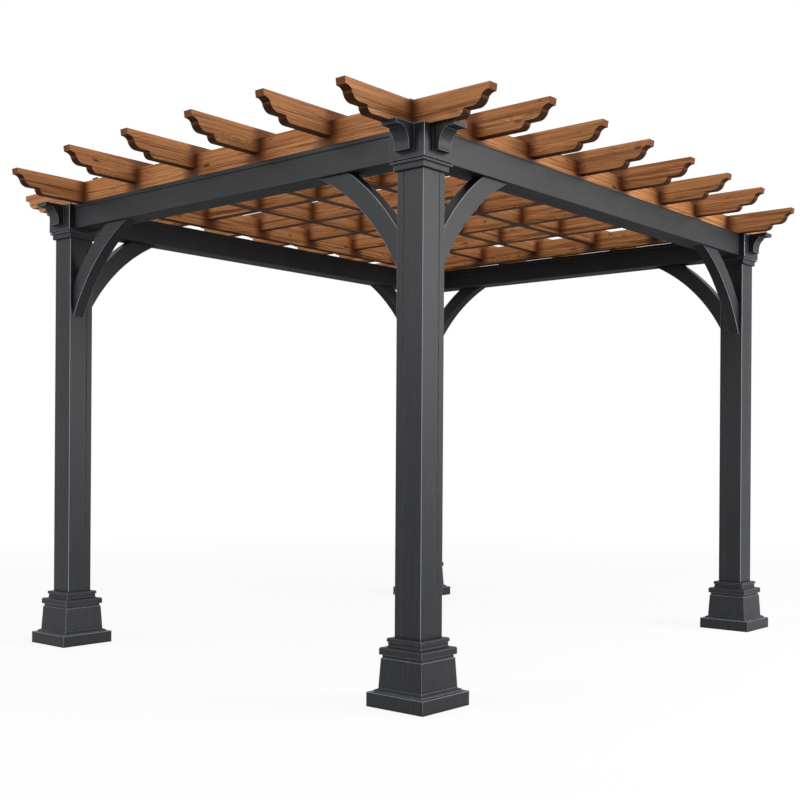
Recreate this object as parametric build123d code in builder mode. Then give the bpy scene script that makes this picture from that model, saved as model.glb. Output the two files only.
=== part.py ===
"""Garden pergola: a coated steel frame on four moulded bases under a cross-lapped timber roof.

Millimetres. The origin is on the ground, in the middle of the four posts. +Z is up. X runs along
the long, spliced beams and Y along the short, one-piece beams.
"""
import os

from build123d import *

# Plan of the frame, between post centres
span_x = 2730.0
span_y = 2244.0

# Posts, folded from two sheets that meet in two seams
post_side = 127.0
post_height = 2032.0
post_edge_radius = 2.0
seam_inset = 31.0
seam_width = 3.0
seam_depth = 2.0

# Moulded base skirts
plinth_half = 137.0
plinth_height = 54.0
lower_step_half = 119.0
lower_step_height = 10.0
lower_step_round = 6.0
upper_step_half = 109.0
upper_step_height = 12.0
body_foot_half = 105.0
body_top_half = 99.0
body_height = 104.0
undercut_half = 95.0
undercut_height = 13.0
ledge_half = 104.0
ledge_height = 27.0
ledge_chamfer = 4.0
neck_half = 80.0
neck_height = 21.0
neck_cove_radius = 9.0
crown_half = 84.0
crown_height = 14.0
crown_chamfer = 3.0

# Collars under the heads
collar_band_half = 74.0
collar_band_height = 25.0
collar_band_chamfer = 3.0
collar_ring_half = 83.0
collar_ring_height = 7.0
collar_cove_radius = 6.0
collar_neck_half = 70.0
collar_neck_height = 4.0
sleeve_clearance = 0.2

# Corner heads and their corbels
head_side = 172.0
head_height = 124.0
head_edge_chamfer = 1.5
corbel_width = 72.0
corbel_height = 98.0
corbel_foot_reach = 30.0
corbel_throat_reach = 58.0
corbel_lip_reach = 100.0
corbel_lip_height = 18.0
corbel_throat_height = 22.0
corbel_curve = (0.18, 0.62)

# Beams
beam_width = 114.0
beam_height = 118.0
beam_edge_chamfer = 1.5
beam_cap_height = 18.0
beam_cap_reach = 3.0
beam_line_width = 2.0
beam_line_depth = 1.5
long_beam_line_drop = 4.0
under_seam_inward = 6.0
splice_chamfer = 1.0

# Curved knee braces
brace_reach = 430.0
brace_sagitta = 53.0
brace_depth = 80.0
brace_thickness = 58.0
brace_inset = 12.0
brace_edge_chamfer = 1.5

# Timber roof: the outermost rafters lie on the beams, and the inner ones ride higher on them
rafter_thickness = 45.0
rafter_height = 100.0
inner_rise = 38.0
lap_clearance = 0.2
long_rafter_count = 6
cross_rafter_count = 8
x_overhang = 415.0
y_overhang = 356.0

# Where the first and last rafters stand, inwards of the post centres
first_long_rafter_inset = 25.0
last_long_rafter_inset = 140.0
first_cross_rafter_inset = -30.0
last_cross_rafter_inset = 90.0

# Shaped rafter ends, from the tip inwards
nose_run = 4.0
nose_drop = 26.0
cove_run = 32.0
cove_drop = 14.0
belly_run = 46.0
belly_drop = 33.0
ledge_run = 36.0
toe_run = 26.0

# Bent lines: the shares of the way along and down at which the middle of an arc lies
runs_first = (0.66, 0.3)
drops_first = (0.3, 0.7)

# Angle brackets in the corner laps
bracket_leg = 45.0
bracket_thickness = 3.0
bracket_rise = 26.0
bracket_corner_radius = 6.0

# Levels that follow from the sizes above
beam_top = post_height + head_height
beam_bottom = beam_top - beam_height

# Places that follow from the sizes above
corners = {
    "front": (-1, -1),
    "left": (-1, 1),
    "right": (1, -1),
    "back": (1, 1),
}


def rafter_row(span, first_inset, last_inset, count):
    """Centres of a row of rafters, evenly spaced between its first and its last."""
    pitch = (span - first_inset - last_inset) / (count - 1)
    return [first_inset - span / 2 + number * pitch for number in range(count)]


long_rafter_ys = rafter_row(
    span_y, first_long_rafter_inset, last_long_rafter_inset, long_rafter_count
)
cross_rafter_xs = rafter_row(
    span_x, first_cross_rafter_inset, last_cross_rafter_inset, cross_rafter_count
)
slot_width = rafter_thickness + 2 * lap_clearance


def corner_point(side_x, side_y):
    """Centre of a post, from the signs of its corner."""
    return side_x * span_x / 2, side_y * span_y / 2


def facing_y(x, y, z=0.0):
    """Upright plane across Y: its own x runs along +X and its own y runs up."""
    return Plane(origin=(x, y, z), x_dir=(1, 0, 0), z_dir=(0, -1, 0))


def facing_x(x, y, z=0.0):
    """Upright plane across X: its own x runs along +Y and its own y runs up."""
    return Plane(origin=(x, y, z), x_dir=(0, 1, 0), z_dir=(1, 0, 0))


def save(piece, name):
    """Name a finished piece and write it as its own file."""
    piece.part.label = name
    export_step(piece.part, "parts/" + name + ".step")


# Posts: a square tube section with the two seams where its folded sheets meet
def build_post(x, y):
    with BuildPart() as post:
        with BuildSketch():
            with Locations((x, y)):
                RectangleRounded(post_side, post_side, post_edge_radius)
        extrude(amount=post_height)
        seam_at = post_side / 2 - seam_inset
        with BuildSketch():
            with Locations((x - post_side / 2, y + seam_at)):
                Rectangle(2 * seam_depth, seam_width)
            with Locations((x + seam_at, y - post_side / 2)):
                Rectangle(seam_width, 2 * seam_depth)
        extrude(amount=post_height, mode=Mode.SUBTRACT)
    return post


# Base skirts: the same silhouette cut square both ways, which mitres every moulding
def skirt_side():
    upper_at = plinth_height + lower_step_height
    body_at = upper_at + upper_step_height
    undercut_at = body_at + body_height
    ledge_at = undercut_at + undercut_height
    neck_at = ledge_at + ledge_height
    crown_at = neck_at + neck_height
    top_at = crown_at + crown_height
    Polyline((0, 0), (plinth_half, 0), (plinth_half, plinth_height), (lower_step_half, plinth_height))
    RadiusArc(
        (lower_step_half, plinth_height),
        (lower_step_half - lower_step_round, upper_at),
        -lower_step_height,
    )
    Line((lower_step_half - lower_step_round, upper_at), (upper_step_half, upper_at))
    RadiusArc((upper_step_half, upper_at), (body_foot_half, body_at), upper_step_height)
    Polyline(
        (body_foot_half, body_at),
        (body_top_half, undercut_at),
        (undercut_half, undercut_at),
        (undercut_half, ledge_at),
        (ledge_half, ledge_at),
        (ledge_half, neck_at - ledge_chamfer),
        (ledge_half - ledge_chamfer, neck_at),
        (neck_half + neck_cove_radius, neck_at),
    )
    RadiusArc(
        (neck_half + neck_cove_radius, neck_at),
        (neck_half, neck_at + neck_cove_radius),
        neck_cove_radius,
    )
    Polyline(
        (neck_half, neck_at + neck_cove_radius),
        (neck_half, crown_at),
        (crown_half, crown_at),
        (crown_half, top_at - crown_chamfer),
        (crown_half - crown_chamfer, top_at),
        (0, top_at),
    )


def square_moulding(x, y, draw_side):
    """A square moulding with one silhouette on all four sides."""
    with BuildPart() as moulding:
        with BuildSketch(facing_y(x, y)):
            with BuildLine():
                draw_side()
                mirror(about=Plane.YZ)
            make_face()
        extrude(amount=plinth_half, both=True)
        with BuildSketch(facing_x(x, y)):
            with BuildLine():
                draw_side()
                mirror(about=Plane.YZ)
            make_face()
        extrude(amount=plinth_half, both=True, mode=Mode.INTERSECT)
        sleeve = post_side + 2 * sleeve_clearance
        with BuildSketch():
            with Locations((x, y)):
                Rectangle(sleeve, sleeve)
        extrude(amount=beam_top, mode=Mode.SUBTRACT)
    return moulding


# Collars: a band that flares into a thin ring, and a short neck under the head
def collar_side():
    neck_at = post_height - collar_neck_height
    ring_at = neck_at - collar_ring_height
    band_at = ring_at - collar_band_height
    cove_at = ring_at - collar_cove_radius
    Polyline(
        (0, band_at),
        (collar_band_half - collar_band_chamfer, band_at),
        (collar_band_half, band_at + collar_band_chamfer),
        (collar_band_half, cove_at),
    )
    RadiusArc(
        (collar_band_half, cove_at),
        (collar_band_half + collar_cove_radius, ring_at),
        collar_cove_radius,
    )
    Polyline(
        (collar_band_half + collar_cove_radius, ring_at),
        (collar_ring_half, ring_at),
        (collar_ring_half, neck_at),
        (collar_neck_half, neck_at),
        (collar_neck_half, post_height),
        (0, post_height),
    )


def bent_line(start, end, shares):
    """Arc from start to end, whose middle lies at the shares of the way along and down."""
    along, down = shares
    middle = (start[0] + along * (end[0] - start[0]), start[1] + down * (end[1] - start[1]))
    ThreePointArc(start, middle, end)


# Corner heads: a block that takes the beam ends, with a corbel on each outer face
def corbel_side():
    foot_at = head_height - corbel_height
    lip_at = head_height - corbel_lip_height
    throat_at = head_height - corbel_throat_height
    Polyline((0, foot_at), (corbel_foot_reach, foot_at))
    bent_line((corbel_foot_reach, foot_at), (corbel_throat_reach, throat_at), corbel_curve)
    Polyline(
        (corbel_throat_reach, throat_at),
        (corbel_throat_reach, lip_at),
        (corbel_lip_reach, lip_at),
        (corbel_lip_reach, head_height),
        (0, head_height),
        (0, foot_at),
    )


def build_head(side_x, side_y):
    x, y = corner_point(side_x, side_y)
    with BuildPart() as head:
        with BuildSketch(Plane.XY.offset(post_height)):
            with Locations((x, y)):
                Rectangle(head_side, head_side)
        extrude(amount=head_height)
        chamfer(head.edges().filter_by(Axis.Z), head_edge_chamfer)
        outer_x = Plane(
            origin=(x + side_x * head_side / 2, y, post_height),
            x_dir=(side_x, 0, 0),
            z_dir=(0, -side_x, 0),
        )
        outer_y = Plane(
            origin=(x, y + side_y * head_side / 2, post_height),
            x_dir=(0, side_y, 0),
            z_dir=(side_y, 0, 0),
        )
        for outer in (outer_x, outer_y):
            with BuildSketch(outer):
                with BuildLine():
                    corbel_side()
                make_face()
            extrude(amount=corbel_width / 2, both=True)
    return head


# Beams: box sections with a folded cap, a line under it and a seam along the underside
def beam_side(cap_height, cap_reach):
    """Right-hand half of a beam's section, from the underside up to the cap."""
    half = beam_width / 2
    cap_at = beam_height - cap_height
    line_at = cap_at - beam_line_width
    Polyline(
        (0, 0),
        (half - beam_edge_chamfer, 0),
        (half, beam_edge_chamfer),
        (half, line_at),
        (half - beam_line_depth, line_at),
        (half - beam_line_depth, cap_at),
        (half + cap_reach, cap_at),
        (half + cap_reach, beam_height),
        (0, beam_height),
    )


def build_short_beam(side_x):
    length = span_y - head_side
    with BuildPart() as beam:
        with BuildSketch(facing_y(side_x * span_x / 2, length / 2, beam_bottom)):
            with BuildLine():
                beam_side(beam_cap_height, beam_cap_reach)
                mirror(about=Plane.YZ)
            make_face()
            with Locations((-side_x * under_seam_inward, 0)):
                Rectangle(beam_line_width, 2 * beam_line_depth, mode=Mode.SUBTRACT)
        extrude(amount=length)
    return beam


def build_long_beam_half(side_x, side_y):
    length = (span_x - head_side) / 2
    start = 0 if side_x > 0 else -length
    with BuildPart() as beam:
        with BuildSketch(facing_x(start, side_y * span_y / 2, beam_bottom)):
            with BuildLine():
                beam_side(long_beam_line_drop, 0)
                mirror(about=Plane.YZ)
            make_face()
            with Locations((-side_y * under_seam_inward, 0)):
                Rectangle(beam_line_width, 2 * beam_line_depth, mode=Mode.SUBTRACT)
        extrude(amount=length)
        inner_end = beam.faces().filter_by(Axis.X).sort_by(Axis.X)[0 if side_x > 0 else -1]
        chamfer(inner_end.edges().filter_by(Axis.Z).group_by(SortBy.LENGTH)[-1], splice_chamfer)
    return beam


# Knee braces: a band between two arcs with one centre, cut off at the post and at the beam
def brace_side():
    start = (post_side / 2, beam_bottom - brace_reach)
    end = (post_side / 2 + brace_reach, beam_bottom)
    chord = Vector(*end) - Vector(*start)
    radius = (chord.length**2 / 4 + brace_sagitta**2) / (2 * brace_sagitta)
    middle = (Vector(*start) + Vector(*end)) / 2
    centre = middle + Vector(chord.Y, -chord.X).normalized() * (radius - brace_sagitta)
    crown = centre + Vector(-chord.Y, chord.X).normalized() * radius
    outer_radius = radius + brace_depth
    outer_crown = centre + Vector(-chord.Y, chord.X).normalized() * outer_radius
    post_rise = (outer_radius**2 - (centre.X - start[0]) ** 2) ** 0.5
    beam_run = (outer_radius**2 - (beam_bottom - centre.Y) ** 2) ** 0.5
    outer_start = (start[0], centre.Y + post_rise)
    outer_end = (centre.X - beam_run, beam_bottom)
    ThreePointArc(start, (crown.X, crown.Y), end)
    Line(end, outer_end)
    ThreePointArc(outer_end, (outer_crown.X, outer_crown.Y), outer_start)
    Line(outer_start, start)


def build_brace(plane, inwards):
    """Brace whose outer face lies in the plane; inwards is its signed thickness."""
    with BuildPart() as brace:
        with BuildSketch(plane):
            with BuildLine():
                brace_side()
            make_face()
        extrude(amount=inwards)
        outer_arcs = [
            edge
            for edge in brace.edges().filter_by(GeomType.CIRCLE)
            if abs(plane.to_local_coords(edge.center()).Z) < brace_thickness / 2
        ]
        chamfer(outer_arcs, brace_edge_chamfer)
    return brace


def build_brace_under_long_beam(side_x, side_y):
    x, y = corner_point(side_x, side_y)
    outer_face = y + side_y * (beam_width / 2 - brace_inset)
    plane = Plane(origin=(x, outer_face, 0), x_dir=(-side_x, 0, 0), z_dir=(0, side_x, 0))
    return build_brace(plane, -side_x * side_y * brace_thickness)


def build_brace_under_short_beam(side_x, side_y):
    x, y = corner_point(side_x, side_y)
    outer_face = x + side_x * (beam_width / 2 - brace_inset)
    plane = Plane(origin=(outer_face, y, 0), x_dir=(0, -side_y, 0), z_dir=(-side_y, 0, 0))
    return build_brace(plane, side_x * side_y * brace_thickness)


# Rafters: planks with sawn ends, halved into each other at every crossing
def rafter_half(tip):
    """Right-hand half of a rafter, from its middle to its tip."""
    nose = (tip - nose_run, rafter_height - nose_drop)
    bend = (nose[0] - cove_run, nose[1] - cove_drop)
    belly = (bend[0] - belly_run, bend[1] - belly_drop)
    ledge = (belly[0] - ledge_run, belly[1])
    foot = (ledge[0] - toe_run, 0)
    Line((tip, rafter_height), nose)
    bent_line(nose, bend, runs_first)
    bent_line(bend, belly, drops_first)
    Line(belly, ledge)
    bent_line(ledge, foot, drops_first)
    Line(foot, (0, 0))
    Line((0, rafter_height), (tip, rafter_height))


def rise_of(number, count):
    """How far a rafter's underside lies above the beams: nothing for the outermost ones."""
    return 0.0 if number in (0, count - 1) else inner_rise


def lap_slots(own_rise, others, count, keeps_top):
    """Place, level and direction of each slot of a rafter that crosses a row of others.

    The higher rafter of two is cut from beneath. Between equals, keeps_top tells which.
    """
    slots = []
    for number, place in enumerate(others):
        other_rise = rise_of(number, count)
        level = beam_top + (own_rise + other_rise + rafter_height) / 2
        is_upper = own_rise > other_rise or (own_rise == other_rise and keeps_top)
        slots.append((place, level, Align.MAX if is_upper else Align.MIN))
    return slots


def build_rafter(plane, tip, slots, slot_size):
    """A shaped plank with its slots; each slot is a point, and the side of it that is cut away."""
    with BuildPart() as rafter:
        with BuildSketch(plane):
            with BuildLine():
                rafter_half(tip)
                mirror(about=Plane.YZ)
            make_face()
        extrude(amount=rafter_thickness / 2, both=True)
        for point, cut_side in slots:
            with Locations(point):
                Box(
                    *slot_size,
                    rafter_height,
                    align=(Align.CENTER, Align.CENTER, cut_side),
                    mode=Mode.SUBTRACT,
                )
    return rafter


def build_long_rafter(number):
    y = long_rafter_ys[number]
    rise = rise_of(number, long_rafter_count)
    slots = lap_slots(rise, cross_rafter_xs, cross_rafter_count, keeps_top=False)
    return build_rafter(
        facing_y(0, y, beam_top + rise),
        span_x / 2 + x_overhang,
        [((x, y, level), cut_side) for x, level, cut_side in slots],
        (slot_width, 2 * rafter_thickness),
    )


def build_cross_rafter(number):
    x = cross_rafter_xs[number]
    rise = rise_of(number, cross_rafter_count)
    slots = lap_slots(rise, long_rafter_ys, long_rafter_count, keeps_top=True)
    return build_rafter(
        facing_x(x, 0, beam_top + rise),
        span_y / 2 + y_overhang,
        [((x, y, level), cut_side) for y, level, cut_side in slots],
        (2 * rafter_thickness, slot_width),
    )


# Angle brackets: one in the inner corner of each of the four outermost laps
def build_brackets():
    height = rafter_height + bracket_rise
    with BuildPart() as brackets:
        for side_x, side_y in corners.values():
            lap_x = cross_rafter_xs[0 if side_x < 0 else -1] - side_x * rafter_thickness / 2
            lap_y = long_rafter_ys[0 if side_y < 0 else -1] - side_y * rafter_thickness / 2
            along_x = Plane(
                origin=(lap_x, lap_y, beam_top),
                x_dir=(-side_x, 0, 0),
                z_dir=(0, side_x, 0),
            )
            along_y = Plane(
                origin=(lap_x, lap_y, beam_top),
                x_dir=(0, -side_y, 0),
                z_dir=(-side_y, 0, 0),
            )
            for plane, turn in ((along_x, -side_x * side_y), (along_y, side_x * side_y)):
                with BuildSketch(plane):
                    with BuildLine():
                        Line((0, 0), (bracket_leg, 0))
                        Line((bracket_leg, 0), (bracket_leg, height - bracket_corner_radius))
                        RadiusArc(
                            (bracket_leg, height - bracket_corner_radius),
                            (bracket_leg - bracket_corner_radius, height),
                            -bracket_corner_radius,
                        )
                        Line((bracket_leg - bracket_corner_radius, height), (0, height))
                        Line((0, height), (0, 0))
                    make_face()
                extrude(amount=turn * bracket_thickness)
    return brackets


os.makedirs("parts", exist_ok=True)

for corner, (side_x, side_y) in corners.items():
    x, y = corner_point(side_x, side_y)
    save(build_post(x, y), corner + "_post")
    save(square_moulding(x, y, skirt_side), corner + "_base_skirt")
    save(square_moulding(x, y, collar_side), corner + "_collar")
    save(build_head(side_x, side_y), corner + "_head")
    save(build_brace_under_long_beam(side_x, side_y), corner + "_brace_under_long_beam")
    save(build_brace_under_short_beam(side_x, side_y), corner + "_brace_under_short_beam")

for side_x, name in ((-1, "left_short_beam"), (1, "right_short_beam")):
    save(build_short_beam(side_x), name)

for side_y, name in ((-1, "front_long_beam"), (1, "back_long_beam")):
    for side_x, half in ((-1, "near_half"), (1, "far_half")):
        save(build_long_beam_half(side_x, side_y), name + "_" + half)

for number in range(long_rafter_count):
    save(build_long_rafter(number), "long_rafter_" + str(number + 1))

for number in range(cross_rafter_count):
    save(build_cross_rafter(number), "cross_rafter_" + str(number + 1))

save(build_brackets(), "corner_brackets")
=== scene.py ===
# %% [markdown]
# # A garden pergola, from a plain frame to a finished picture
#
# The real pergola is a charcoal steel frame: four posts on moulded bases, beams with curved
# knee braces, and corner heads with corbels. On top lies an open roof of brown stained
# rafters, halved into each other like an egg crate. The solids come ready from the model's
# frame, in metres, so this lesson is about what a maker sees and touches: the satin coat on
# folded steel, the grain of sawn softwood, and a few screws.

# %% Load the frame
import math
from collections import namedtuple

import bmesh
import bpy
from mathutils import Matrix, Vector


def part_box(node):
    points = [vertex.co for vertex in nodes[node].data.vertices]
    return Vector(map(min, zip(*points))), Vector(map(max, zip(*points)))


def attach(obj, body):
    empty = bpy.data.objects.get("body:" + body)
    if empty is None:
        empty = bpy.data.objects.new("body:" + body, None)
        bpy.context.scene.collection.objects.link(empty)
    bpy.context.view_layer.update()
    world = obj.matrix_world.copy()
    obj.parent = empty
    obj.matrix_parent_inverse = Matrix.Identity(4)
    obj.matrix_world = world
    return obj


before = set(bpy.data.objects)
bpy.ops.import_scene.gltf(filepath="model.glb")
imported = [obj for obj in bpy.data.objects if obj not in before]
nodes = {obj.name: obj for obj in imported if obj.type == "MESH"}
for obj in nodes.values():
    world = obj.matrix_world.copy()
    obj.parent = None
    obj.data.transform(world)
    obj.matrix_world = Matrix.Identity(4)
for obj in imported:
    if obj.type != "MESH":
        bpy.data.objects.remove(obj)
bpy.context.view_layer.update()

# %% [markdown]
# ## The camera
#
# The photo was taken from near the front corner, at about waist height, so that one looks up
# into the roof. The upright lines stay upright, which a photographer gets by holding the
# camera level and shifting the lens. The same is done here: a level camera, a small shift,
# and a tiny roll, because the photo's horizon leans by about a third of a degree.

# %% Camera
picture_px = 800
lens_px = 1171.0
heading = 0.699
roll = 0.0062
principal = (413.8, 456.2)
camera_at = Vector((-4.7358, -3.9281, 0.9339))

camera_data = bpy.data.cameras.new("photo_camera")
camera = bpy.data.objects.new("photo_camera", camera_data)
bpy.context.scene.collection.objects.link(camera)
camera_data.sensor_width = 36.0
camera_data.lens = lens_px / picture_px * camera_data.sensor_width
camera_data.shift_x = (picture_px / 2 - principal[0]) / picture_px
camera_data.shift_y = (principal[1] - picture_px / 2) / picture_px
camera_data.clip_end = 200.0
forward = Vector((math.cos(heading), math.sin(heading), 0.0))
level = forward.to_track_quat("-Z", "Y").to_matrix().to_4x4()
camera.matrix_world = Matrix.Translation(camera_at) @ level @ Matrix.Rotation(roll, 4, "Z")
bpy.context.scene.camera = camera
print("lens", round(camera_data.lens, 2), "mm")

# %% [markdown]
# ## Maths on sockets
#
# A shader is a sum of small decisions: a mask times a colour, one minus a mask, and so on.
# Written as wired boxes that is hard to read. So one small class wraps a socket, and the
# plus, minus, times and divide signs add the Math nodes. Every other node comes from one
# method, `add`, which takes the node's type, its settings and what goes into its sockets.

# %% A socket that can be calculated with
class Wire:
    def __init__(self, tree, socket):
        self.tree = tree
        self.socket = socket

    def add(self, kind, settings=None, inputs=None, out=0):
        return add(self.tree, kind, settings, inputs, out)

    def maths(self, operation, first, second=0.0, clamp=False):
        settings = {"operation": operation, "use_clamp": clamp}
        return self.add("ShaderNodeMath", settings, {0: first, 1: second})

    def __add__(self, other):
        return self.maths("ADD", self, other)

    def __radd__(self, other):
        return self.maths("ADD", other, self)

    def __sub__(self, other):
        return self.maths("SUBTRACT", self, other)

    def __rsub__(self, other):
        return self.maths("SUBTRACT", other, self)

    def __mul__(self, other):
        return self.maths("MULTIPLY", self, other)

    def __rmul__(self, other):
        return self.maths("MULTIPLY", other, self)

    def __truediv__(self, other):
        return self.maths("DIVIDE", self, other)

    def clamped(self):
        return self.maths("ADD", self, 0.0, clamp=True)

    def size(self):
        return self.maths("ABSOLUTE", self)

    def between(self, low, high):
        """0 below low, 1 above high, and a smooth rise from one to the other."""
        settings = {"interpolation_type": "SMOOTHSTEP"}
        inputs = {"Value": self, "From Min": low, "From Max": high}
        return self.add("ShaderNodeMapRange", settings, inputs)


def plug(tree, socket, value):
    if isinstance(value, Wire):
        tree.links.new(value.socket, socket)
    elif isinstance(value, (tuple, list)) and socket.type == "RGBA" and len(value) == 3:
        socket.default_value = (*value, 1.0)
    else:
        socket.default_value = value


def add(tree, kind, settings=None, inputs=None, out=0):
    """Any node: its type, its settings first, then the values or wires of its sockets."""
    node = tree.nodes.new(kind)
    for name, value in (settings or {}).items():
        setattr(node, name, value)
    for name, value in (inputs or {}).items():
        plug(tree, node.inputs[name], value)
    return Wire(tree, node.outputs[out])


def outputs(wire):
    """All outputs of the node that a wire comes from, by name."""
    return {socket.name: Wire(wire.tree, socket) for socket in wire.socket.node.outputs}


def mix(tree, share, first, second):
    """Colour from first to second, by share."""
    settings = {"data_type": "RGBA", "clamp_factor": True}
    return add(tree, "ShaderNodeMix", settings, {0: share, 6: first, 7: second}, out=2)


def surface(name, colour, roughness, normal, fixed):
    """Plugs a recipe's three results into the shader, and sets its plain numbers."""
    material = bpy.data.materials[name]
    shader = material.node_tree.nodes["Principled BSDF"]
    plug(material.node_tree, shader.inputs["Base Color"], colour)
    plug(material.node_tree, shader.inputs["Roughness"], roughness)
    if normal is not None:
        plug(material.node_tree, shader.inputs["Normal"], normal)
    for socket, value in fixed.items():
        shader.inputs[socket].default_value = value
    return material


def fresh(name):
    material = bpy.data.materials.new(name)
    material.use_nodes = True
    return material.node_tree


print("socket helpers ready")

# %% [markdown]
# ## The steel's coat
#
# The frame is folded sheet with a charcoal powder coat. Powder melts into a skin with a faint
# orange-peel texture, a satin gloss and a slightly blue-grey black. The sheet was brushed
# before it was coated, so fine lines run along every post and beam. The sharp folds get a
# painted highlight, which is a lighter colour broken up by speckle. The steps of the mouldings,
# as an ambient occlusion node finds them, and the undersides get painted shade: a darker colour,
# a rougher coat and no painted highlight. The texture could be modelled, but it is a few
# hundredths of a millimetre deep, so a bump is right. The folds get a soft normal from the
# Bevel node, which is how a real fold of 2 mm catches a line of light. That node averages
# the faces around a point, so the two lips of a narrow seam cancel out and stay dark. The
# posts' folds are rounded in the solids already, and there the normal points between x and y,
# which also places their painted highlight.

# %% Powder coat
def stretched(tree, place, stretch):
    return add(tree, "ShaderNodeVectorMath", {"operation": "MULTIPLY"}, {0: place, 1: stretch})


def noise(tree, place, scale, detail, roughness=0.55):
    inputs = {"Vector": place, "Scale": scale, "Detail": detail, "Roughness": roughness}
    return add(tree, "ShaderNodeTexNoise", None, inputs)


def shades(tint, *factors):
    return [tuple(factor * channel for channel in tint) for factor in factors]


def powder_coat(name, tint, brushed, fold_highlight_level):
    """Brushed is how fine the lines lie along each axis, and the last argument how bright the
    painted highlight on the folds is.
    """
    tree = fresh(name)
    place = add(tree, "ShaderNodeTexCoord", out=3)
    peel = noise(tree, place, 420.0, 2.0)
    cloud = noise(tree, place, 2.3, 5.0, 0.6)
    speck = noise(tree, place, 55.0, 3.0, 0.7)
    brush = noise(tree, stretched(tree, place, brushed), 1.0, 3.0, 0.7)
    fold = add(tree, "ShaderNodeBevel", {"samples": 12}, {"Radius": 0.006})
    true = add(tree, "ShaderNodeNewGeometry", out=1)
    dot = {"operation": "DOT_PRODUCT"}
    match = add(tree, "ShaderNodeVectorMath", dot, {0: fold, 1: true}, out=1)
    # Painted shade: steps and grooves that the ambient occlusion finds get a darker colour.
    open_air = add(tree, "ShaderNodeAmbientOcclusion", {"samples": 6}, {"Distance": 0.022}, out=1)
    crevice_shade = 1.0 - open_air.between(0.3, 0.85)
    facing = outputs(add(tree, "ShaderNodeSeparateXYZ", None, {0: true}))
    # Painted highlight: the folds, found by the Bevel normal and by the posts' rounded corners, get
    # a lighter colour.
    round_fold_highlight = (facing["X"] * facing["Y"]).size().between(0.1, 0.35)
    fold_highlight_mask = ((1.0 - match).between(0.07, 0.2) + round_fold_highlight).clamped()
    # Painted shade: faces turned downwards get a darker colour.
    underside_shade = (0.0 - facing["Z"]).between(0.4, 0.9)
    shaded_parts = (crevice_shade + underside_shade).clamped()
    # shadow is the colour of the painted shade, and the last colour is the painted highlight on the
    # folds.
    shadow, dark, light, line, fold_highlight = shades(tint, 0.15, 0.7, 1.15, 2.2, fold_highlight_level)
    body = mix(tree, cloud.between(0.3, 0.7), dark, light)
    body = mix(tree, brush.between(0.5, 0.75) * 0.7, body, line)
    body = mix(tree, (1.0 - brush.between(0.25, 0.5)) * 0.6, body, dark)
    # Painted shade in the steps and grooves and on the undersides.
    body = mix(tree, (crevice_shade + 0.6 * underside_shade).clamped() * 0.9, body, shadow)
    # Painted highlight along the folds, kept off the parts with painted shade.
    body = mix(tree, fold_highlight_mask * (0.6 + 0.4 * speck) * (1.0 - shaded_parts).clamped(), body, fold_highlight)
    gloss = 0.42 + 0.12 * (cloud - 0.5) + 0.1 * (brush - 0.5) - 0.06 * fold_highlight_mask + 0.4 * shaded_parts
    skin = add(tree, "ShaderNodeBump", None, {
        "Strength": 0.3, "Distance": 0.0005, "Height": 0.6 * peel + brush, "Normal": fold,
    })
    return surface(name, body, gloss, skin, {"Specular IOR Level": 0.25, "IOR": 1.5})


charcoal = (0.0165, 0.0178, 0.0205)
upright_coat = powder_coat("charcoal_coat_upright", charcoal, (190.0, 190.0, 5.0), 36.0)
long_coat = powder_coat("charcoal_coat_long", charcoal, (5.0, 190.0, 190.0), 5.0)
short_coat = powder_coat("charcoal_coat_short", charcoal, (190.0, 5.0, 190.0), 5.0)
print("coat:", len(upright_coat.node_tree.nodes), "nodes")

# %% [markdown]
# ## Stained softwood
#
# Each rafter is sawn from one plank, so its grain runs along its length and differs from its
# neighbour's. Three things make wood look like wood: long wavering rings with thin dark late
# wood, fine pores stretched along the grain, and knots that push the rings aside. The rings
# are distances from a wandering axis, and the fibres are noise that is stretched a
# hundredfold along the plank. The stain is darkest where the end grain drinks it. The
# undersides and the corners of the laps get painted shade, which is a darker colour where less
# light falls. One recipe serves both directions: it first turns the place so that its x runs
# along the plank.

# %% Timber
Row = namedtuple("Row", "first pitch last low rise")


def nearest(value, row):
    """Centre of the rafter of a row that a place is nearest to, and its number."""
    steps = (value - row.first) / row.pitch
    rounded = steps.add("ShaderNodeMath", {"operation": "ROUND"}, {0: steps})
    floored = rounded.maths("MAXIMUM", rounded, 0.0)
    number = floored.maths("MINIMUM", floored, row.last)
    return row.first + row.pitch * number, number


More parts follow.
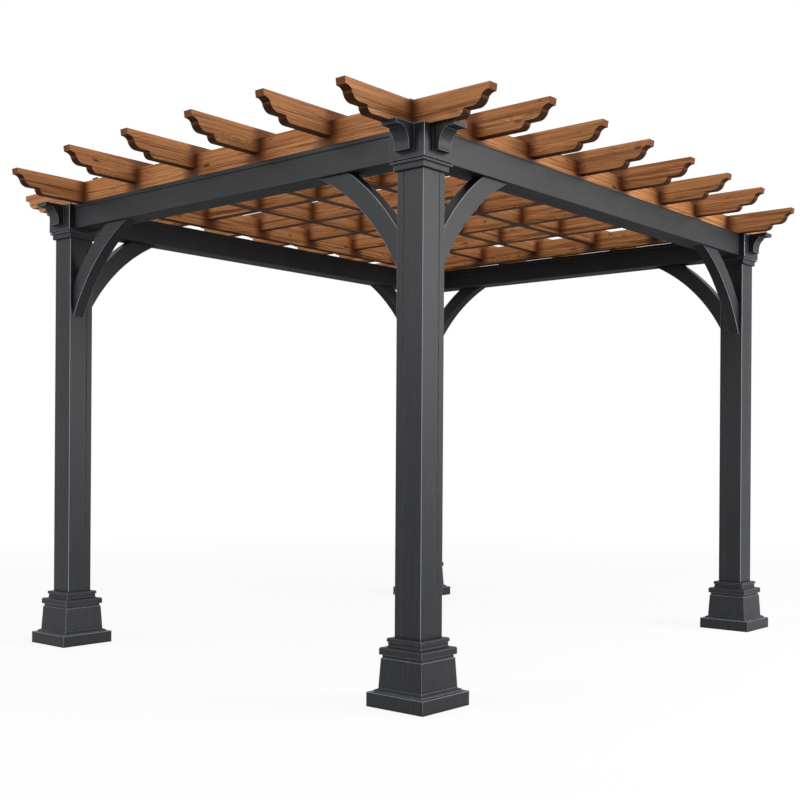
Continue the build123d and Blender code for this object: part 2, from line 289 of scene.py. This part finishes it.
def timber(name, along, own_row, lap_row, tones):
    """The own row holds the planks that get this material, and the lap row those across them."""
    tree = fresh(name)
    spot = add(tree, "ShaderNodeTexCoord", out=3)
    x, y, z = outputs(add(tree, "ShaderNodeSeparateXYZ", None, {0: spot})).values()
    length, side = (x, y) if along == "x" else (y, x)
    centre, number = nearest(side, own_row)
    across = side - centre
    inner = number.maths("MINIMUM", number, own_row.last - number).clamped()
    level = z - (own_row.low + own_row.rise * inner)
    one_number = {"noise_dimensions": "1D"}
    chance = add(tree, "ShaderNodeTexWhiteNoise", one_number, {"W": number * 3.7 + 1.3})
    grain_place = {0: length + chance * 40.0, 1: across, 2: level}
    grain_at = add(tree, "ShaderNodeCombineXYZ", None, grain_place)
    waver = noise(tree, stretched(tree, grain_at, (0.9, 4.0, 4.0)), 1.0, 3.0, 0.5)
    knot_at = stretched(tree, grain_at, (4.2, 15.0, 15.0))
    knot_inputs = {"Vector": knot_at, "Scale": 1.0}
    knot_cell = add(tree, "ShaderNodeTexVoronoi", {"feature": "F1"}, knot_inputs)
    is_knot = outputs(knot_cell)["Color"].between(0.55, 0.58)
    knot_heart = (1.0 - knot_cell.between(0.05, 0.13)) * is_knot
    knot_pull = (1.0 - knot_cell.between(0.05, 0.5)) * is_knot
    pith = add(tree, "ShaderNodeCombineXYZ", None, {
        1: across * 7.0 + 0.3 * waver,
        2: (level + 0.06 - 0.12 * chance) * 7.0 + 1.6 * waver,
    })
    radius = add(tree, "ShaderNodeVectorMath", {"operation": "LENGTH"}, {0: pith}, out=1)
    ring = (radius + knot_pull * 0.2) * 15.0
    wave = add(tree, "ShaderNodeMath", {"operation": "FRACT"}, {0: ring})
    late = wave.between(0.3, 0.95) * (1.0 - wave.between(0.95, 1.0))
    fibre = noise(tree, stretched(tree, grain_at, (5.0, 380.0, 380.0)), 1.0, 3.0, 0.65)
    streak = noise(tree, stretched(tree, grain_at, (1.6, 75.0, 75.0)), 1.0, 5.0, 0.75)
    vein = noise(tree, stretched(tree, grain_at, (1.3, 52.0, 52.0)), 1.0, 4.0, 0.65)
    blotch = noise(tree, grain_at, 5.0, 3.0, 0.5)
    split_at = stretched(tree, grain_at, (2.2, 0.0, 26.0))
    check_line = noise(tree, split_at, 1.0, 2.0, 0.4)
    check = 1.0 - (check_line - 0.5).size().between(0.002, 0.014)
    check = check * blotch.between(0.5, 0.6)

    heart_level = level - 0.05 * (waver - 0.5) - 0.03 * (chance - 0.5)
    heart_line = 1.0 - heart_level.size().between(0.0006, 0.002)

    # Painted shade: the colour darkens near the laps, where the crossing rafters shade the wood.
    lap_centre = nearest(length, lap_row)[0]
    lap_gap = (length - lap_centre).size() - rafter_thickness / 2
    lap_shade = 1.0 - lap_gap.between(0.0, 0.06)
    normal = add(tree, "ShaderNodeNewGeometry", out=1)
    facing = outputs(add(tree, "ShaderNodeSeparateXYZ", None, {0: normal}))
    end_grain = facing[along.upper()].size().between(0.2, 0.8)
    # Painted shade: faces turned downwards get a near-black colour.
    underside_shade = (0.0 - facing["Z"]).between(0.05, 0.6)

    pale, mid, deep, black = tones
    body = mix(tree, streak.between(0.3, 0.7), pale, mid)
    body = mix(tree, late * 0.4, body, deep)
    body = mix(tree, fibre.between(0.5, 0.72) * 0.6, body, deep)
    body = mix(tree, vein.between(0.54, 0.62) * 0.8, body, deep)
    body = mix(tree, heart_level.between(-0.001, 0.001) * 0.3, body, mid)
    body = mix(tree, heart_line * streak.between(0.35, 0.6) * 0.8, body, black)
    body = mix(tree, check * 0.85, body, black)
    body = mix(tree, blotch.between(0.5, 0.8) * 0.4, body, mid)
    body = mix(tree, chance * 0.25, body, mid)
    body = mix(tree, knot_heart * 0.85, body, black)
    # Painted shade near the laps, the stained end grain, then painted shade on the undersides.
    body = mix(tree, lap_shade * 0.85, body, deep)
    body = mix(tree, end_grain * 0.75, body, deep)
    body = mix(tree, underside_shade * 0.85, body, black)
    fold = add(tree, "ShaderNodeBevel", {"samples": 4}, {"Radius": 0.0025})
    gloss = 0.5 + 0.16 * fibre + 0.1 * end_grain + 0.2 * underside_shade
    relief = fibre * 0.5 + late * 0.3 + streak * 0.3 - knot_heart * 0.4
    skin = add(tree, "ShaderNodeBump", None,
               {"Strength": 0.3, "Distance": 0.0012, "Height": relief, "Normal": fold})
    return surface(name, body, gloss, skin, {"Specular IOR Level": 0.15})


def middle(name):
    low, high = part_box(name)
    return (low + high) / 2


def rafter_row(kind, axis):
    """Where the rafters of one direction lie, from the boxes of the first two of them."""
    count = sum(name.startswith(kind) for name in nodes)
    outer, inner = middle(kind + "1"), middle(kind + "2")
    return Row(outer[axis], inner[axis] - outer[axis], count - 1, outer.z, inner.z - outer.z)


rafter_low, rafter_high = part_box("long_rafter_1")
rafter_thickness = rafter_high.y - rafter_low.y
long_row = rafter_row("long_rafter_", 1)
cross_row = rafter_row("cross_rafter_", 0)
brown_tones = (
    (0.78, 0.375, 0.148),
    (0.42, 0.158, 0.052),
    (0.12, 0.033, 0.010),
    (0.022, 0.008, 0.004),
)
long_wood = timber("stained_timber_long", "x", long_row, cross_row, brown_tones)
cross_wood = timber("stained_timber_cross", "y", cross_row, long_row, brown_tones)
print("rows of rafters:", [round(v, 3) for v in long_row + cross_row])

# %% [markdown]
# ## Dressing the frame
#
# The solids already have the real shapes, so they stay and only get their finish. The name
# of each piece says what it is made of.

# %% Give each piece its finish
def finish_for(name):
    if name.startswith("long_rafter"):
        return long_wood
    if name.startswith("cross_rafter"):
        return cross_wood
    if "_long_beam" in name and "brace" not in name:
        return long_coat
    if name.endswith("short_beam") and "brace" not in name:
        return short_coat
    return upright_coat


for name, piece in nodes.items():
    piece.data.materials.clear()
    piece.data.materials.append(finish_for(name))
print("dressed", len(nodes), "pieces")

# %% [markdown]
# ## Bracket screws
#
# Each corner lap is held by an angle bracket, and each leg of a bracket by two screws with
# low domed heads. A head is a stack of rings: the round dome first, then a ring with six
# sides that goes down into the head and leaves a socket for the key. It is only 11 mm wide,
# so a stack of rings is enough, and one mesh holds all sixteen.

# %% Screws of the angle brackets
round_ring, six_sided_ring = False, True
head_rings = (
    (5.5, 0.0, round_ring),
    (5.5, 0.6, round_ring),
    (4.9, 1.7, round_ring),
    (3.6, 2.5, round_ring),
    (2.6, 2.7, round_ring),
    (2.0, 2.7, six_sided_ring),
    (2.0, 0.9, six_sided_ring),
)
ring_points = 24
bracket_thickness = 0.003
screw_along_leg = 0.027
screw_levels = (0.030, 0.078)
millimetre = 0.001


def ring_radius(radius, six_sided, angle):
    """A round ring keeps its radius, and a six-sided one has it across its flats."""
    if not six_sided:
        return radius
    return radius / math.cos(angle % (math.pi / 3) - math.pi / 6)


def add_screw(mesh, place):
    rings = []
    for radius, height, six_sided in head_rings:
        ring = []
        for number in range(ring_points):
            angle = 2 * math.pi * number / ring_points
            reach = ring_radius(radius, six_sided, angle)
            spot = Vector((reach * math.cos(angle), reach * math.sin(angle), height)) * millimetre
            ring.append(mesh.verts.new(place @ spot))
        rings.append(ring)
    for lower, upper in zip(rings, rings[1:]):
        for number in range(ring_points):
            after = (number + 1) % ring_points
            mesh.faces.new((lower[number], lower[after], upper[after], upper[number]))
    mesh.faces.new(rings[-1])
    mesh.faces.new(rings[0][::-1])


screw_edit = bmesh.new()
last_long, last_cross = long_row.last + 1, cross_row.last + 1
for side_x, cross_number in ((-1, 1), (1, last_cross)):
    for side_y, long_number in ((-1, 1), (1, last_long)):
        cross_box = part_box("cross_rafter_" + str(cross_number))
        long_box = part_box("long_rafter_" + str(long_number))
        lap_x = cross_box[1 if side_x < 0 else 0].x
        lap_y = long_box[1 if side_y < 0 else 0].y
        for level in screw_levels:
            on_long = (lap_x - side_x * screw_along_leg, lap_y - side_y * bracket_thickness)
            on_cross = (lap_x - side_x * bracket_thickness, lap_y - side_y * screw_along_leg)
            for spot, out in ((on_long, (0, -side_y, 0)), (on_cross, (-side_x, 0, 0))):
                turned = Vector(out).to_track_quat("Z", "Y").to_matrix().to_4x4()
                height = long_box[0].z + level
                add_screw(screw_edit, Matrix.Translation((*spot, height)) @ turned)
screw_mesh = bpy.data.meshes.new("bracket_screws")
screw_edit.to_mesh(screw_mesh)
screw_edit.free()
screws = bpy.data.objects.new("bracket_screws", screw_mesh)
bpy.context.scene.collection.objects.link(screws)
screw_mesh.materials.append(upright_coat)
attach(screws, "root")
print("screws:", len(screw_mesh.polygons), "faces")

# %% [markdown]
# ## Studio
#
# A pale floor and soft light from a white room. The photo's right-hand faces are the brighter
# ones, so a large softbox stands on that side and a weaker one on the left. The world gives
# the rest. The background is white because the camera, and anything glossy, sees the world
# at a strength of one. To them the floor is pale and mixed with a white glow, which thins out
# the shadows. To the light that bounces up from it the floor is dark, so that the undersides
# stay as dark as they are in the photo.

# %% Floor, world and lamps
floor_mesh = bpy.data.meshes.new("studio_floor")
floor_edit = bmesh.new()
bmesh.ops.create_grid(floor_edit, x_segments=1, y_segments=1, size=60.0)
floor_edit.to_mesh(floor_mesh)
floor_edit.free()
floor = bpy.data.objects.new("studio_floor", floor_mesh)
bpy.context.scene.collection.objects.link(floor)


def background_rays(tree):
    """1 where a ray comes from the camera or by a reflection, and 0 for the light on things."""
    path = outputs(add(tree, "ShaderNodeLightPath"))
    seen = path["Is Camera Ray"] + path["Is Glossy Ray"] + path["Is Transmission Ray"]
    return seen.clamped()


floor_tree = fresh("pale_floor")
floor_place = add(floor_tree, "ShaderNodeTexCoord", out=3)
floor_grain = noise(floor_tree, floor_place, 0.6, 2.0, 0.5)
shown_tint = mix(floor_tree, floor_grain, (0.84, 0.84, 0.84), (0.88, 0.88, 0.88))
floor_tint = mix(floor_tree, background_rays(floor_tree), (0.11, 0.11, 0.11), shown_tint)
floor_material = surface("pale_floor", floor_tint, 0.9, None, {"Specular IOR Level": 0.0})
distance = add(floor_tree, "ShaderNodeVectorMath", {"operation": "LENGTH"}, {0: floor_place}, out=1)
whiteness = 0.85 + 0.15 * distance.between(2.5, 8.0)
glow = add(floor_tree, "ShaderNodeEmission", None, {"Color": (1.0, 1.0, 1.0), "Strength": 1.0})
lit = Wire(floor_tree, floor_tree.nodes["Principled BSDF"].outputs[0])
shown_floor = add(floor_tree, "ShaderNodeMixShader", None,
                  {0: whiteness * background_rays(floor_tree), 1: lit, 2: glow})
floor_output = floor_tree.nodes["Material Output"]
plug(floor_tree, floor_output.inputs["Surface"], shown_floor)
floor_mesh.materials.append(floor_material)

world = bpy.data.worlds.new("white_room")
bpy.context.scene.world = world
world.use_nodes = True
air = world.node_tree
room_level = 0.5
backdrop = air.nodes["Background"]
plug(air, backdrop.inputs["Strength"], room_level + (1.0 - room_level) * background_rays(air))
backdrop.inputs["Color"].default_value = (1.0, 1.0, 1.0, 1.0)


def softbox(name, place, aim, size, watts):
    lamp_data = bpy.data.lights.new(name, "AREA")
    lamp_data.shape = "RECTANGLE"
    lamp_data.size, lamp_data.size_y = size
    lamp_data.energy = watts
    lamp = bpy.data.objects.new(name, lamp_data)
    lamp.location = place
    lamp.rotation_euler = (Vector(aim) - Vector(place)).to_track_quat("-Z", "Y").to_euler()
    bpy.context.scene.collection.objects.link(lamp)
    return lamp


softbox("right_softbox", (2.6, -6.8, 2.8), (0.2, -0.6, 1.4), (3.5, 3.5), 380.0)
softbox("left_softbox", (-8.0, 2.0, 4.0), (0.0, 0.0, 2.3), (4.0, 4.0), 240.0)
softbox("top_softbox", (-1.0, -1.5, 7.5), (0.0, 0.0, 2.0), (6.0, 6.0), 200.0)
bpy.context.scene.view_settings.view_transform = "Standard"
print("lamps:", [o.name for o in bpy.context.scene.objects if o.type == "LIGHT"])
